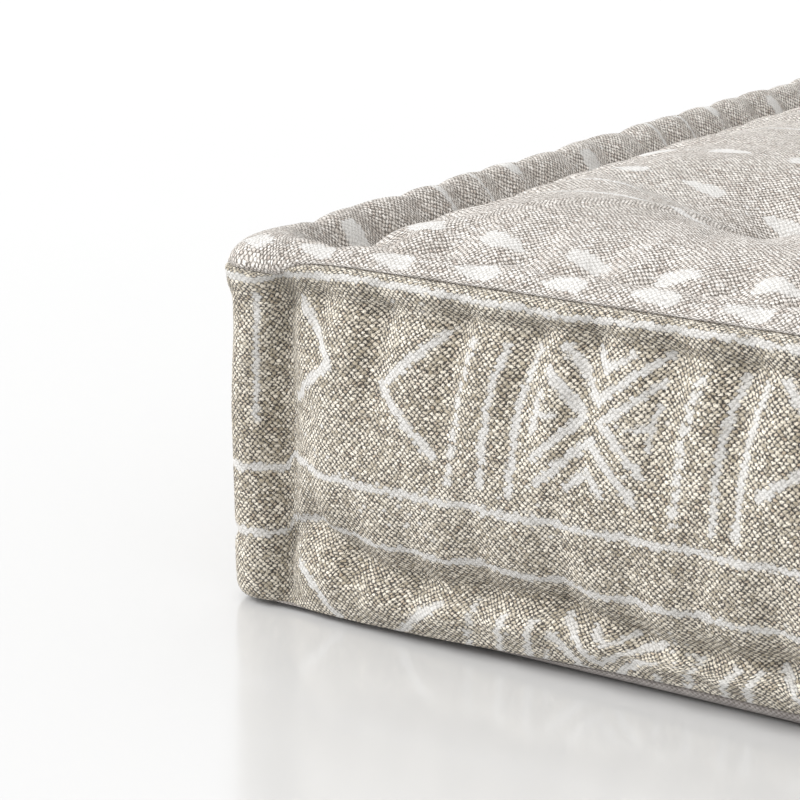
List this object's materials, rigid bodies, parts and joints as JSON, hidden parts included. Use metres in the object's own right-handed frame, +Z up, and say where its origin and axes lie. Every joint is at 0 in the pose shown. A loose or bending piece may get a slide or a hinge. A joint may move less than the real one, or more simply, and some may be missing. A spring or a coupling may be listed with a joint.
{
  "type": "floor cushion",
  "caption": "Square tufted floor cushion with rolled, twine-stitched edges, a printed woven cotton top and side band, and a plain canvas underside.",
  "frame": {"origin": "on the floor under the middle of the cushion", "axes": "+Z up through the thickness; X and Y along the sides, and -Y is the side whose left end is the front left corner"},
  "size_m": [0.61, 0.61, 0.1389],
  "materials": {
    "printed_cotton_top": "coarse woven, matt, off-white print",
    "printed_cotton_side": "coarse woven, matt, off-white print",
    "plain_canvas": "fine plain weave, matt",
    "cotton_wadding": "soft fibre, matt",
    "cotton_twine": "twisted cord, matt"
  },
  "bodies": {
    "root": {"bottom_panel": "plain_canvas", "corner_twine_back_left": "cotton_twine", "corner_twine_back_right": "cotton_twine", "corner_twine_front_left": "cotton_twine", "corner_twine_front_right": "cotton_twine", "corner_wadding_back_left": "cotton_wadding", "corner_wadding_back_right": "cotton_wadding", "corner_wadding_front_left": "cotton_wadding", "corner_wadding_front_right": "cotton_wadding", "filling_pad": "cotton_wadding", "roll_twine_bottom": "cotton_twine", "roll_twine_top": "cotton_twine", "roll_wadding_bottom": "cotton_wadding", "roll_wadding_top": "cotton_wadding", "side_band": "printed_cotton_side", "top_panel": "printed_cotton_top", "tuft_tie_1_1": "cotton_twine", "tuft_tie_1_2": "cotton_twine", "tuft_tie_1_3": "cotton_twine", "tuft_tie_2_1": "cotton_twine", "tuft_tie_2_2": "cotton_twine", "tuft_tie_2_3": "cotton_twine", "tuft_tie_3_1": "cotton_twine", "tuft_tie_3_2": "cotton_twine", "tuft_tie_3_3": "cotton_twine"}
  },
  "joints": []
}
